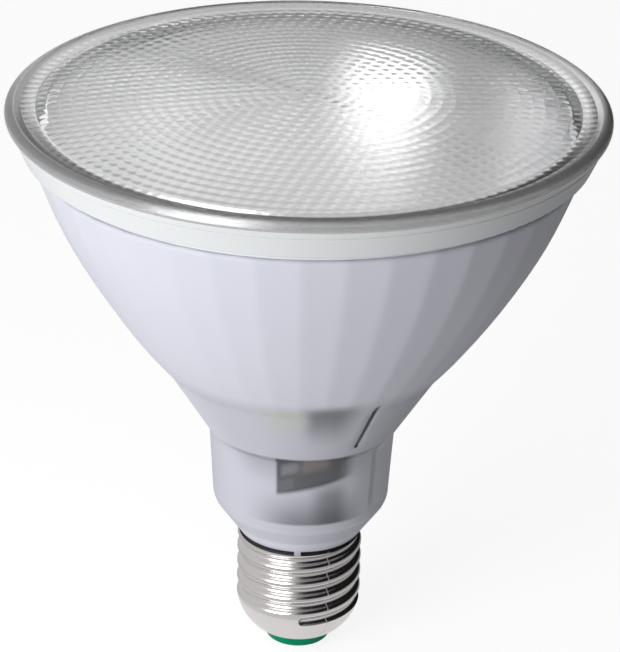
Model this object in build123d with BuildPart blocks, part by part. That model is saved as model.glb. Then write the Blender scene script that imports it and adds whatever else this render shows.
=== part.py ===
"""PAR38 spotlight bulb with an E27 screw cap, built as separate solids in millimetres.

The origin is the tip of the centre contact, Z runs up the axis towards the lens,
and the side seen in the photograph faces -Y.
"""
import os
from math import asin, ceil, cos, pi, radians, sin, sqrt

from build123d import *

os.makedirs("parts", exist_ok=True)

# Fits between pieces
clearance = 0.3
seat_gap = 0.04

# Screw cap, E27
thread_pitch = 3.629
crest_r = 13.1
crest_land = 0.129
crest_flat = 0.02
thread_depth = 1.05
groove_lift = 6.36
groove_from = 275.6
shell_wall = 0.45
shell_length = 22.5
shell_round = 7.1
shell_round_out = 0.62
shell_round_up = 0.4
shell_lip_in = 4.1
shell_lip_width = 0.8
shell_floor = 0.9
insulator_height = 3.1
insulator_taper = 1.2
insulator_hole_r = 1.2
insulator_flange = 2.2
insulator_flange_gap = 0.1
contact_height = 1.3
contact_margin = 1.8
contact_flat_r = 2.0
contact_edge = 0.5
contact_bulge = 0.3

# Housing, a moulded bowl, cone, neck and tail
wall = 1.8
tail_slot = 0.9
slot_depth = 0.65
tail_inset = 0.2
tail_height = 7.7
tail_flare = 5.4
neck_wall = 1.6
neck_height = 16.1
neck_taper = 1.0
neck_round = 4.0
cone_wall = 2.1
cone_height = 15.6
cone_flare = 9.7
bowl_height = 46.2
upright_lift = 25.4
upright_rate = 0.39
facets = 40
facet_turn = -0.9
bowl_levels = 6
floor_drop = 2.0
floor_corner = 1.7
spigot_wall = 1.7
spigot_lift = 2.0
ledge_drop = 4.2
ledge_width = 1.6
line_slot_turn = 30.0
line_slot_width = 0.8
line_slot_depth = 0.9
line_slot_lift = 4.2
key_turn = -1.5
key_width = 1.4
key_inset = 0.1

# Rim ring and lens
foot_width = 1.0
lip_gap = 1.3
lip_over = 1.75
lip_round = 0.6
ring_height = 7.5
ring_flare = 2.7
ring_line_drop = 1.4
ring_line = 0.3
seal_width = 2.0
seal_depth = 1.5
lens_r = 60.5
lens_over = 0.6
lens_edge_in = 0.4
lens_band_in = 2.4
lens_field_in = 4.4
band_step = 0.1
band_step_width = 0.2
bead_height = 2.3
bead_widest = 1.05
bead_shoulder = 0.75
bead_shoulder_in = 0.55
bead_brow = 0.12
bead_brow_in = 1.2
lens_rise = 2.85
lens_thick = 2.3
lens_foot = 0.77

# Light source
spreader_thick = 2.0
led_board_r = 16.0
led_board_thick = 1.6
led_size = 3.0
led_height = 0.8
led_inner_r = 4.5
led_screw_gap = 3.1
led_inner_count = 4
led_outer_count = 8
screw_count = 4
screw_turn = 22.5
screw_inset = 2.4
screw_shank_r = 1.2
screw_head_r = 2.0
screw_head = 1.3
screw_reach = 0.8
reflector_wall = 0.8
reflector_gap = 0.8
reflector_foot_gap = 2.0
reflector_floor = 0.5
reflector_top_gap = 2.0

# Driver board and what stands on it
board_turn = 28.0
board_thick = 1.4
board_gap = 1.7
board_headroom = 3.5
tongue_gap = 1.1
tongue_drop = 4.5
rib_width = 1.2
rib_grip = 1.4
rib_lift = 1.0
rib_height = 10.5
rib_root = 0.6
wire_r = 0.5
lead_spread = 6.0
neutral_along = 5.0
neutral_drop = 9.0
neutral_bend = 2.0
neutral_way = 2.0
part_gap = 0.6
edge_round = 0.6
wall_gap = 0.65
film_left = 11.0
film_width = 15.0
film_height = 9.4
film_lift = 9.5
suppression_width = 9.0
suppression_depth = 9.0
suppression_short = 0.6
core_width = 10.4
core_middle = 3.2
core_leg = 1.7
core_back = 3.6
core_deep = 5.0
core_headroom = 2.0
choke_r = 3.6
choke_depth = 8.0
choke_along = 5.6
choke_lift = 4.7
fuse_r = 1.6
fuse_depth = 7.0
fuse_along = -7.0
fuse_lift = 4.5
bulk_r = 5.0
bulk_along = 6.5
bulk_lift = 11.5
output_r = 3.15
output_depth = 9.0
output_along = -6.5
output_gap = 1.05
bridge_size = (7.0, 6.0)
bridge_thick = 2.6
chip_along = -6.0
bridge_lift = 6.5
transistor_size = (6.5, 6.0)
transistor_thick = 2.3
transistor_gap = 1.4
controller_size = (5.0, 4.0)
controller_thick = 1.5
controller_along = 7.0
controller_drop = 4.5

# Radii, from the screw cap out to the rim
groove_half = (thread_pitch - crest_land) / 2
root_r = crest_r - thread_depth
shell_in = root_r - shell_wall
shell_lip_r = crest_r - shell_lip_in
shell_hole_r = shell_lip_r - shell_lip_width
plug_r = shell_hole_r - clearance
insulator_foot_r = plug_r - insulator_taper
contact_r = insulator_foot_r - contact_margin
spigot_r = shell_in - clearance
bore_r = spigot_r - spigot_wall
tongue_half = bore_r - tongue_gap
tail_r = crest_r - tail_inset
neck_low_r = tail_r + tail_flare
neck_in = neck_low_r - neck_wall
board_half = neck_in - board_gap
crease_r = neck_low_r + neck_taper
kink_r = crease_r + cone_flare
ring_top_r = lens_r - lens_over
lip_r = ring_top_r - ring_flare
mouth_r = lip_r - lip_over
lens_edge_r = lens_r - lens_edge_in
lens_band_r = lens_r - lens_band_in
lens_field_r = lens_r - lens_field_in
screw_ring_r = led_board_r - screw_inset
led_outer_r = screw_ring_r - led_screw_gap
reflector_foot_r = led_board_r + reflector_foot_gap

# Heights, from the contact tip up to the rim
shell_lip_z = contact_height + insulator_height
shell_floor_z = shell_lip_z + shell_floor
groove_start_z = shell_lip_z + groove_lift
shell_round_z = shell_lip_z + shell_round
spigot_foot_z = shell_round_z + spigot_lift
shell_top_z = shell_lip_z + shell_length
tail_z = shell_top_z + tail_slot
neck_low_z = tail_z + tail_height
floor_z = neck_low_z - floor_drop
tongue_z = floor_z - tongue_drop
neutral_z = tongue_z - neutral_drop
crease_z = neck_low_z + neck_height
line_slot_low_z = crease_z + line_slot_lift
kink_z = crease_z + cone_height
ledge_z = kink_z - ledge_drop
spreader_top_z = ledge_z + spreader_thick
led_top_z = spreader_top_z + led_board_thick
board_top_z = ledge_z - board_headroom
film_low_z = floor_z + film_lift
upper_low_z = film_low_z + film_height + part_gap
core_height = ledge_z - core_headroom - upper_low_z
bridge_z = floor_z + bridge_lift
transistor_z = bridge_z + (bridge_size[1] + transistor_size[1]) / 2 + transistor_gap
output_z = transistor_z + transistor_size[1] / 2 + output_gap + output_r
upright_z = kink_z + upright_lift
mouth_z = kink_z + bowl_height
ring_top_z = mouth_z + ring_height

cone_slope = cone_flare / cone_height
upright_loss = upright_rate * (mouth_z - upright_z) ** 2
bowl_rise = (mouth_r**2 - kink_r**2 + upright_loss) / bowl_height


def cone_r(z):
    return crease_r + cone_slope * (z - crease_z)


def bowl_r(z):
    over = max(0.0, z - upright_z)
    return sqrt(kink_r**2 + bowl_rise * (z - kink_z) - upright_rate * over**2)


def bowl_heights(low, high, steps):
    return [low + (high - low) * i / steps for i in range(steps + 1)]


def meridian(turn):
    """Upright plane through the axis, turned from the front towards the right."""
    a = radians(turn - 90)
    return Plane(origin=(0, 0, 0), x_dir=(cos(a), sin(a), 0), z_dir=(sin(a), -cos(a), 0))


board_a = radians(board_turn)
board_x = Vector(cos(board_a), sin(board_a), 0)
board_n = Vector(sin(board_a), -cos(board_a), 0)
board_mid = Plane(origin=(0, 0, 0), x_dir=board_x, z_dir=board_n)
board_front = Plane(origin=board_n * (board_thick / 2), x_dir=board_x, z_dir=board_n)
board_back = Plane(origin=board_n * (-board_thick / 2), x_dir=-board_x, z_dir=-board_n)


# Housing: the bowl is a stack of many-sided sections, so it has flat-fronted strips
with BuildPart() as housing:
    strip_scale = 2 / (1 + cos(pi / facets))
    for z in bowl_heights(kink_z, mouth_z, bowl_levels):
        with BuildSketch(Plane.XY.offset(z)):
            RegularPolygon(bowl_r(z) * strip_scale, facets, rotation=facet_turn)
    loft()
    with BuildSketch(Plane.XZ) as lower_body:
        with BuildLine():
            Polyline(
                (0, spigot_foot_z),
                (spigot_r, spigot_foot_z),
                (spigot_r, shell_top_z),
                (tail_r - slot_depth, shell_top_z),
                (tail_r - slot_depth, tail_z),
                (tail_r, tail_z),
                (neck_low_r, neck_low_z),
                (crease_r, crease_z),
                (kink_r, kink_z),
                (0, kink_z),
                close=True,
            )
        make_face()
        corner = lower_body.vertices().sort_by_distance((neck_low_r, neck_low_z))[0]
        fillet(corner, neck_round)
    revolve(axis=Axis.Z)
    with BuildSketch(Plane.XZ):
        with BuildLine():
            inner_wall = [
                (bowl_r(z) - wall, z) for z in bowl_heights(kink_z, mouth_z, bowl_levels)
            ]
            ledge_r = cone_r(ledge_z) - cone_wall
            step_z = ledge_z - ledge_width / cone_slope
            Spline(*inner_wall)
            Line(inner_wall[-1], (0, mouth_z))
            Line((0, mouth_z), (0, spigot_foot_z))
            Line((0, spigot_foot_z), (bore_r, spigot_foot_z))
            Line((bore_r, spigot_foot_z), (bore_r, floor_z))
            Line((bore_r, floor_z), (neck_in - floor_corner, floor_z))
            Line((neck_in - floor_corner, floor_z), (neck_in, floor_z + floor_corner))
            neck_top_z = crease_z + (neck_in + cone_wall - crease_r) / cone_slope
            Line((neck_in, floor_z + floor_corner), (neck_in, neck_top_z))
            Line((neck_in, neck_top_z), (ledge_r - ledge_width, step_z))
            Line((ledge_r - ledge_width, step_z), (ledge_r - ledge_width, ledge_z))
            Line((ledge_r - ledge_width, ledge_z), (ledge_r, ledge_z))
            Line((ledge_r, ledge_z), inner_wall[0])
        make_face()
    revolve(axis=Axis.Z, mode=Mode.SUBTRACT)
    # Upright ribs that hold the two edges of the driver board
    rib_foot_z = neck_low_z + rib_lift
    rib_out = neck_in + rib_root
    rib_in = board_half - rib_grip
    rib_side = board_thick / 2 + rib_width / 2
    with BuildSketch(Plane.XY.offset(rib_foot_z)):
        with Locations(Rotation(0, 0, board_turn)):
            with GridLocations(rib_in + rib_out, 2 * rib_side, 2, 2):
                Rectangle(rib_out - rib_in, rib_width)
    extrude(amount=rib_height)
    # Narrow slot down the cone
    with BuildSketch(meridian(line_slot_turn)):
        with BuildLine():
            Polyline(
                (cone_r(line_slot_low_z) - line_slot_depth, line_slot_low_z),
                (cone_r(line_slot_low_z) + wall, line_slot_low_z),
                (kink_r + wall, kink_z),
                (kink_r - line_slot_depth, kink_z),
                close=True,
            )
        make_face()
    extrude(amount=line_slot_width / 2, both=True, mode=Mode.SUBTRACT)
    # Opening in the spigot for the lead to the shell
    with BuildSketch(Plane.XY.offset(spigot_foot_z)):
        with Locations(Rotation(0, 0, board_turn)):
            with Locations((bore_r, 0)):
                Rectangle(2 * (spigot_r - bore_r + clearance), neutral_way)
    extrude(amount=neutral_z + neutral_way - spigot_foot_z, mode=Mode.SUBTRACT)
    # Key that bridges the dark slot above the shell
    with BuildSketch(meridian(key_turn)):
        with BuildLine():
            Polyline(
                (spigot_r - clearance, shell_top_z),
                (tail_r - key_inset, shell_top_z),
                (tail_r - key_inset, tail_z),
                (spigot_r - clearance, tail_z),
                close=True,
            )
        make_face()
    extrude(amount=key_width / 2, both=True)
housing.part.label = "housing"
export_step(housing.part, "parts/housing.step")


# Rim ring: stands on the mouth of the housing and carries the lens
with BuildPart() as rim_ring:
    foot_in = mouth_r - wall + clearance
    lip_z = mouth_z + lip_gap
    seal_z = ring_top_z - seal_depth
    seal_in = foot_in + clearance
    seat_in = seal_in + seal_width + clearance
    line_z = ring_top_z - ring_line_drop
    line_r = lip_r + (ring_top_r - lip_r) * (line_z - lip_z) / (ring_top_z - lip_z)
    with BuildSketch(Plane.XZ) as ring_section:
        with BuildLine():
            Polyline(
                (foot_in, mouth_z),
                (foot_in + foot_width, mouth_z),
                (foot_in + foot_width, lip_z),
                (lip_r, lip_z),
                (line_r - ring_line / 6, line_z - ring_line / 2),
                (line_r - ring_line, line_z),
                (line_r + ring_line / 6, line_z + ring_line / 2),
                (ring_top_r, ring_top_z),
                (seat_in, ring_top_z),
                (seat_in, seal_z),
                (foot_in, seal_z),
                close=True,
            )
        make_face()
        corner = ring_section.vertices().sort_by_distance((lip_r, lip_z))[0]
        fillet(corner, lip_round)
    revolve(axis=Axis.Z)
rim_ring.part.label = "rim_ring"
export_step(rim_ring.part, "parts/rim_ring.step")


# Lens seal: flat ring in the groove under the lens
with BuildPart() as lens_seal:
    with BuildSketch(Plane.XY.offset(seal_z)):
        Circle(seal_in + seal_width)
        Circle(seal_in, mode=Mode.SUBTRACT)
    extrude(amount=seal_depth)
lens_seal.part.label = "lens_seal"
export_step(lens_seal.part, "parts/lens_seal.step")


# Lens: shallow dome, smooth band and a rounded bead round the edge
with BuildPart() as lens:
    bead_top_z = ring_top_z + bead_height
    field_z = bead_top_z - band_step
    apex_z = field_z + lens_rise
    under_r = seal_in
    under_z = ring_top_z + lens_foot
    bead_in = lens_band_r + band_step_width
    shoulder = (lens_r - bead_shoulder_in, ring_top_z + bead_widest + bead_shoulder)
    with BuildSketch(Plane.XZ):
        with BuildLine():
            Line((0, apex_z - lens_thick), (0, apex_z))
            TangentArc((0, apex_z), (lens_field_r, field_z), tangent=(1, 0))
            Line((lens_field_r, field_z), (lens_band_r, field_z))
            Line((lens_band_r, field_z), (bead_in, bead_top_z))
            ThreePointArc(
                (bead_in, bead_top_z),
                (lens_r - bead_brow_in, bead_top_z - bead_brow),
                shoulder,
            )
            ThreePointArc(
                shoulder,
                (lens_r, ring_top_z + bead_widest),
                (lens_edge_r, ring_top_z),
            )
            Line((lens_edge_r, ring_top_z), (under_r, ring_top_z))
            Line((under_r, ring_top_z), (under_r, under_z))
            TangentArc((0, apex_z - lens_thick), (under_r, under_z), tangent=(1, 0))
        make_face()
    revolve(axis=Axis.Z)
lens.part.label = "lens"
export_step(lens.part, "parts/lens.step")


# Heat spreader: plate on the ledge of the housing
with BuildPart() as heat_spreader:
    spreader_r = ledge_r - clearance
    with BuildSketch(Plane.XY.offset(ledge_z)):
        Circle(spreader_r)
        with PolarLocations(screw_ring_r, screw_count, start_angle=screw_turn):
            Circle(screw_shank_r + clearance, mode=Mode.SUBTRACT)
        with Locations(Rotation(0, 0, board_turn)):
            with GridLocations(2 * lead_spread, 0, 2, 1):
                Circle(wire_r + clearance, mode=Mode.SUBTRACT)
    extrude(amount=spreader_thick)
heat_spreader.part.label = "heat_spreader"
export_step(heat_spreader.part, "parts/heat_spreader.step")


# Board that carries the light-emitting packages
with BuildPart() as led_board:
    with BuildSketch(Plane.XY.offset(spreader_top_z)):
        Circle(led_board_r)
        with PolarLocations(screw_ring_r, screw_count, start_angle=screw_turn):
            Circle(screw_shank_r + clearance, mode=Mode.SUBTRACT)
    extrude(amount=led_board_thick)
led_board.part.label = "led_board"
export_step(led_board.part, "parts/led_board.step")


# Light-emitting packages, one square block each
with BuildPart() as led_packages:
    with BuildSketch(Plane.XY.offset(led_top_z)):
        with PolarLocations(led_inner_r, led_inner_count):
            Rectangle(led_size, led_size)
        with PolarLocations(led_outer_r, led_outer_count):
            Rectangle(led_size, led_size)
    extrude(amount=led_height)
led_packages.part.label = "led_packages"
export_step(led_packages.part, "parts/led_packages.step")


# Screws that clamp the board to the spreader
with BuildPart() as board_screws:
    with BuildSketch(Plane.XY.offset(led_top_z)):
        with PolarLocations(screw_ring_r, screw_count, start_angle=screw_turn):
            Circle(screw_head_r)
    extrude(amount=screw_head)
    with BuildSketch(Plane.XY.offset(ledge_z - screw_reach)):
        with PolarLocations(screw_ring_r, screw_count, start_angle=screw_turn):
            Circle(screw_shank_r)
    extrude(amount=led_top_z - ledge_z + screw_reach)
board_screws.part.label = "board_screws"
export_step(board_screws.part, "parts/board_screws.step")


# Reflector: bright thin bowl that stands on the spreader
with BuildPart() as reflector:
    refl_low_z = kink_z + reflector_floor
    refl_top_z = ring_top_z - reflector_top_gap
    refl_heights = bowl_heights(refl_low_z, mouth_z, bowl_levels)
    refl_out = [(bowl_r(z) - wall - reflector_gap, z) for z in refl_heights]
    refl_in = [(r - reflector_wall, z) for r, z in refl_out]
    foot_out = reflector_foot_r + reflector_wall
    floor_in = refl_in[0][0]
    with BuildSketch(Plane.XZ):
        with BuildLine():
            Line((reflector_foot_r, spreader_top_z), (foot_out, spreader_top_z))
            Line((foot_out, spreader_top_z), (foot_out, refl_low_z - reflector_wall))
            Line((foot_out, refl_low_z - reflector_wall), (floor_in, refl_low_z - reflector_wall))
            Line((floor_in, refl_low_z - reflector_wall), refl_out[0])
            Spline(*refl_out)
            Line(refl_out[-1], (refl_out[-1][0], refl_top_z))
            Line((refl_out[-1][0], refl_top_z), (refl_in[-1][0], refl_top_z))
            Line((refl_in[-1][0], refl_top_z), refl_in[-1])
            Spline(*refl_in)
            Line(refl_in[0], (reflector_foot_r, refl_low_z))
            Line((reflector_foot_r, refl_low_z), (reflector_foot_r, spreader_top_z))
        make_face()
    revolve(axis=Axis.Z)
reflector.part.label = "reflector"
export_step(reflector.part, "parts/reflector.step")


# Driver board: stands on the floor of the neck, with a tongue down into the bore
with BuildPart() as driver_board:
    with BuildSketch(board_mid):
        with BuildLine():
            Polyline(
                (-board_half, floor_z + floor_corner),
                (-board_half + floor_corner, floor_z),
                (-tongue_half, floor_z),
                (-tongue_half, tongue_z),
                (tongue_half, tongue_z),
                (tongue_half, floor_z),
                (board_half - floor_corner, floor_z),
                (board_half, floor_z + floor_corner),
                (board_half, board_top_z),
                (-board_half, board_top_z),
                close=True,
            )
        make_face()
    extrude(amount=board_thick / 2, both=True)
driver_board.part.label = "driver_board"
export_step(driver_board.part, "parts/driver_board.step")


# Film capacitor: grey box against the front of the neck
with BuildPart() as film_capacitor:
    film_depth = sqrt((neck_in - wall_gap) ** 2 - film_left**2) - board_thick / 2
    with BuildSketch(board_front):
        with Locations((film_width / 2 - film_left, film_low_z + film_height / 2)):
            Rectangle(film_width, film_height)
    extrude(amount=film_depth)
    fillet(film_capacitor.faces().sort_by(Axis((0, 0, 0), board_n))[-1].edges(), edge_round)
film_capacitor.part.label = "film_capacitor"
export_step(film_capacitor.part, "parts/film_capacitor.step")


# Suppression capacitor: yellow box above it
with BuildPart() as suppression_capacitor:
    suppression_height = core_height - suppression_short
    suppression_mid = (
        -suppression_width / 2 - part_gap,
        upper_low_z + suppression_height / 2,
    )
    with BuildSketch(board_front):
        with Locations(suppression_mid):
            Rectangle(suppression_width, suppression_height)
    extrude(amount=suppression_depth)
    fillet(
        suppression_capacitor.faces().sort_by(Axis((0, 0, 0), board_n))[-1].edges(),
        edge_round,
    )
suppression_capacitor.part.label = "suppression_capacitor"
export_step(suppression_capacitor.part, "parts/suppression_capacitor.step")


# Transformer: dark frame with two windows, and the winding round its middle leg
core_mid = (core_width / 2 + part_gap, upper_low_z + core_height / 2)
window_width = (core_width - core_middle) / 2 - core_leg
window_shift = (core_middle + window_width) / 2
window_height = core_height - 2 * core_leg

with BuildPart() as transformer_core:
    with BuildSketch(board_front.offset(core_back)):
        with Locations(core_mid):
            Rectangle(core_width, core_height)
            with GridLocations(2 * window_shift, 0, 2, 1):
                Rectangle(window_width, window_height, mode=Mode.SUBTRACT)
    extrude(amount=core_deep)
transformer_core.part.label = "transformer_core"
export_step(transformer_core.part, "parts/transformer_core.step")

with BuildPart() as transformer_winding:
    winding_width = core_width - 2 * core_leg - clearance
    winding_edge = core_mid[0] + winding_width / 2
    winding_depth = sqrt((neck_in - wall_gap) ** 2 - winding_edge**2) - board_thick / 2
    with BuildSketch(board_front):
        with Locations(core_mid):
            Rectangle(winding_width, window_height)
    extrude(amount=winding_depth)
    with BuildSketch(board_front.offset(core_back - clearance / 2)):
        with Locations(core_mid):
            Rectangle(core_middle + clearance, window_height)
    extrude(amount=core_deep + clearance, mode=Mode.SUBTRACT)
transformer_winding.part.label = "transformer_winding"
export_step(transformer_winding.part, "parts/transformer_winding.step")


# Line choke: sleeved drum low on the front of the board
with BuildPart() as line_choke:
    with BuildSketch(board_front):
        with Locations((choke_along, floor_z + choke_lift)):
            Circle(choke_r)
    extrude(amount=choke_depth)
    fillet(line_choke.faces().sort_by(Axis((0, 0, 0), board_n))[-1].edges(), edge_round)
line_choke.part.label = "line_choke"
export_step(line_choke.part, "parts/line_choke.step")


# Fuse resistor: small upright barrel beside the choke
with BuildPart() as fuse_resistor:
    with BuildSketch(board_front):
        with Locations((fuse_along, floor_z + fuse_lift)):
            Circle(fuse_r)
    extrude(amount=fuse_depth)
    fillet(fuse_resistor.faces().sort_by(Axis((0, 0, 0), board_n))[-1].edges(), edge_round)
fuse_resistor.part.label = "fuse_resistor"
export_step(fuse_resistor.part, "parts/fuse_resistor.step")


# Bulk capacitor: large can on the back of the board
with BuildPart() as bulk_capacitor:
    bulk_depth = sqrt((neck_in - wall_gap) ** 2 - (bulk_along + bulk_r) ** 2) - board_thick / 2
    with BuildSketch(board_back):
        with Locations((bulk_along, floor_z + bulk_lift)):
            Circle(bulk_r)
    extrude(amount=bulk_depth)
    fillet(bulk_capacitor.faces().sort_by(Axis((0, 0, 0), board_n))[0].edges(), edge_round)
bulk_capacitor.part.label = "bulk_capacitor"
export_step(bulk_capacitor.part, "parts/bulk_capacitor.step")


# Output capacitor: small can near the top of the back
with BuildPart() as output_capacitor:
    with BuildSketch(board_back):
        with Locations((output_along, output_z)):
            Circle(output_r)
    extrude(amount=output_depth)
    fillet(output_capacitor.faces().sort_by(Axis((0, 0, 0), board_n))[0].edges(), edge_round)
output_capacitor.part.label = "output_capacitor"
export_step(output_capacitor.part, "parts/output_capacitor.step")


# Bridge rectifier, switching transistor and controller chip: flat blocks on the back
with BuildPart() as bridge_rectifier:
    with BuildSketch(board_back):
        with Locations((chip_along, bridge_z)):
            Rectangle(*bridge_size)
    extrude(amount=bridge_thick)
bridge_rectifier.part.label = "bridge_rectifier"
export_step(bridge_rectifier.part, "parts/bridge_rectifier.step")

with BuildPart() as switching_transistor:
    with BuildSketch(board_back):
        with Locations((chip_along, transistor_z)):
            Rectangle(*transistor_size)
    extrude(amount=transistor_thick)
switching_transistor.part.label = "switching_transistor"
export_step(switching_transistor.part, "parts/switching_transistor.step")

with BuildPart() as controller_chip:
    with BuildSketch(board_back):
        with Locations((controller_along, board_top_z - controller_drop)):
            Rectangle(*controller_size)
    extrude(amount=controller_thick)
controller_chip.part.label = "controller_chip"
export_step(controller_chip.part, "parts/controller_chip.step")


# Leads from the driver board up to the underside of the light board
with BuildPart() as led_lead_positive:
    with BuildSketch(Plane.XY.offset(board_top_z)):
        with Locations(Rotation(0, 0, board_turn)):
            with Locations((lead_spread, 0)):
                Circle(wire_r)
    extrude(amount=spreader_top_z - board_top_z)
led_lead_positive.part.label = "led_lead_positive"
export_step(led_lead_positive.part, "parts/led_lead_positive.step")

with BuildPart() as led_lead_negative:
    with BuildSketch(Plane.XY.offset(board_top_z)):
        with Locations(Rotation(0, 0, board_turn)):
            with Locations((-lead_spread, 0)):
                Circle(wire_r)
    extrude(amount=spreader_top_z - board_top_z)
led_lead_negative.part.label = "led_lead_negative"
export_step(led_lead_negative.part, "parts/led_lead_negative.step")


# Lead from the centre contact up through the insulator to the board
with BuildPart() as line_lead:
    with BuildSketch(Plane.XY.offset(contact_height)):
        Circle(wire_r)
    extrude(amount=tongue_z - contact_height)
line_lead.part.label = "line_lead"
export_step(line_lead.part, "parts/line_lead.step")


# Lead from the board down the bore and out to the inside of the shell
with BuildPart() as neutral_lead:
    shell_touch = sqrt(shell_in**2 - wire_r**2) - seat_gap
    with BuildLine(board_mid) as neutral_path:
        FilletPolyline(
            (neutral_along, tongue_z),
            (neutral_along, neutral_z),
            (shell_touch, neutral_z),
            radius=neutral_bend,
        )
    with BuildSketch(Plane.XY.offset(tongue_z)):
        with Locations(Rotation(0, 0, board_turn)):
            with Locations((neutral_along, 0)):
                Circle(wire_r)
    sweep(path=neutral_path.line)
neutral_lead.part.label = "neutral_lead"
export_step(neutral_lead.part, "parts/neutral_lead.step")


# Screw shell: a thin drawn cap with the knuckle thread rolled into it as one helix
with BuildPart() as screw_shell:
    with BuildSketch(Plane.XZ):
        with BuildLine():
            Line((0, shell_lip_z), (shell_lip_r, shell_lip_z))
            round_mid = (
                shell_lip_r + shell_round_out * (crest_r - shell_lip_r),
                shell_lip_z + shell_round_up * (shell_round_z - shell_lip_z),
            )
            ThreePointArc((shell_lip_r, shell_lip_z), round_mid, (crest_r, shell_round_z))
            Line((crest_r, shell_round_z), (crest_r, shell_top_z))
            Line((crest_r, shell_top_z), (0, shell_top_z))
            Line((0, shell_top_z), (0, shell_lip_z))
        make_face()
    revolve(axis=Axis.Z)
    # Crest and root of the thread are equal arcs that meet halfway down the flank, and the
    # crest arcs run out just above the crest
    brim_r = crest_r + crest_flat
    groove_depth = brim_r - root_r
    flank_r = (groove_half**2 + groove_depth**2) / (4 * groove_depth)
    half_turn = asin(groove_half / (2 * flank_r)) / 2
    mid_r = brim_r - groove_depth / 2
    groove_turns = ceil((shell_top_z + groove_half - groove_start_z) / thread_pitch)
    with BuildLine() as groove_path:
        Helix(
            thread_pitch,
            thread_pitch * groove_turns,
            crest_r,
            center=(0, 0, groove_start_z),
        )
    groove_plane = Plane.XZ.rotated((0, 0, groove_from))
    groove_out = brim_r + thread_depth
    low = groove_start_z - groove_half
    high = groove_start_z + groove_half
    flank_low = (mid_r, groove_start_z - groove_half / 2)
    flank_high = (mid_r, groove_start_z + groove_half / 2)
    bend_in = flank_r * (1 - cos(half_turn))
    bend_along = flank_r * sin(half_turn)
    crest_bend = (brim_r - bend_in, high - bend_along)
    with BuildSketch(groove_plane):
        with BuildLine():
            ThreePointArc((brim_r, low), (brim_r - bend_in, low + bend_along), flank_low)
            ThreePointArc(flank_low, (root_r, groove_start_z), flank_high)
            ThreePointArc(flank_high, crest_bend, (brim_r, high))
            Line((brim_r, high), (groove_out, high))
            Line((groove_out, high), (groove_out, low))
            Line((groove_out, low), (brim_r, low))
        make_face()
    groove_line = groove_path.line.rotate(Axis.Z, groove_from)
    sweep(path=groove_line, is_frenet=True, mode=Mode.SUBTRACT)
    # The groove starts with a rounded end: half of its section, turned about the radius
    with BuildSketch(groove_plane):
        with BuildLine():
            root_bend = (root_r + bend_in, groove_start_z + bend_along)
            ThreePointArc((root_r, groove_start_z), root_bend, flank_high)
            ThreePointArc(flank_high, crest_bend, (brim_r, high))
            Line((brim_r, high), (groove_out, high))
            Line((groove_out, high), (groove_out, groove_start_z))
            Line((groove_out, groove_start_z), (root_r, groove_start_z))
        make_face()
    groove_axis = Axis((0, 0, groove_start_z), groove_plane.x_dir)
    revolve(axis=groove_axis, revolution_arc=180, mode=Mode.SUBTRACT)
    with BuildSketch(Plane.XZ):
        with BuildLine():
            floor_out = shell_lip_r + insulator_flange_gap
            inner_round = (
                round_mid[0] - thread_depth + (crest_r - round_mid[0]) / 4,
                round_mid[1] + shell_floor / 2,
            )
            ThreePointArc((floor_out, shell_floor_z), inner_round, (shell_in, shell_round_z))
            Line((shell_in, shell_round_z), (shell_in, shell_top_z))
            Line((shell_in, shell_top_z), (0, shell_top_z))
            Line((0, shell_top_z), (0, shell_floor_z))
            Line((0, shell_floor_z), (floor_out, shell_floor_z))
        make_face()
    revolve(axis=Axis.Z, mode=Mode.SUBTRACT)
    with BuildSketch(Plane.XY.offset(shell_lip_z)):
        Circle(shell_hole_r)
    extrude(amount=shell_floor, mode=Mode.SUBTRACT)
screw_shell.part.label = "screw_shell"
export_step(screw_shell.part, "parts/screw_shell.step")


# Insulator: green plug whose flange rests on the floor of the shell
with BuildPart() as base_insulator:
    flange_r = floor_out - insulator_flange_gap
    with BuildSketch(Plane.XZ):
        with BuildLine():
            Polyline(
                (insulator_hole_r, contact_height),
                (insulator_foot_r - clearance, contact_height),
                (insulator_foot_r, contact_height + clearance),
                (plug_r, shell_lip_z),
                (plug_r, shell_floor_z),
                (flange_r, shell_floor_z),
                (flange_r, shell_floor_z + insulator_flange),
                (insulator_hole_r, shell_floor_z + insulator_flange),
                close=True,
            )
        make_face()
    revolve(axis=Axis.Z)
base_insulator.part.label = "base_insulator"
export_step(base_insulator.part, "parts/base_insulator.step")


# Centre contact: domed disc with a small flat at the tip
with BuildPart() as centre_contact:
    with BuildSketch(Plane.XZ):
        with BuildLine():
            Line((0, 0), (contact_flat_r, 0))
            dome_z = contact_height - contact_edge
            dome_half = (contact_flat_r + contact_r) / 2
            ThreePointArc(
                (contact_flat_r, 0),
                (dome_half, dome_z * contact_bulge),
                (contact_r, dome_z),
            )
            Line((contact_r, dome_z), (contact_r, contact_height))
            Line((contact_r, contact_height), (0, contact_height))
            Line((0, contact_height), (0, 0))
        make_face()
    revolve(axis=Axis.Z)
centre_contact.part.label = "centre_contact"
export_step(centre_contact.part, "parts/centre_contact.step")
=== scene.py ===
# %% [markdown]
# # A reflector spotlight bulb
# The solids of the bulb come from the CAD frame, in metres and already in place. This lesson
# gives them their finishes, models the patterned lens as a mesh, and sets up the camera and
# the light of a small studio. Nothing in the frame is moved: a CAD solid keeps its mesh, and
# only its material changes.

# %% Load the frame
from math import atan2, cos, hypot, pi, radians, sin, sqrt

import bmesh
import bpy
from mathutils import Matrix, Vector


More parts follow.
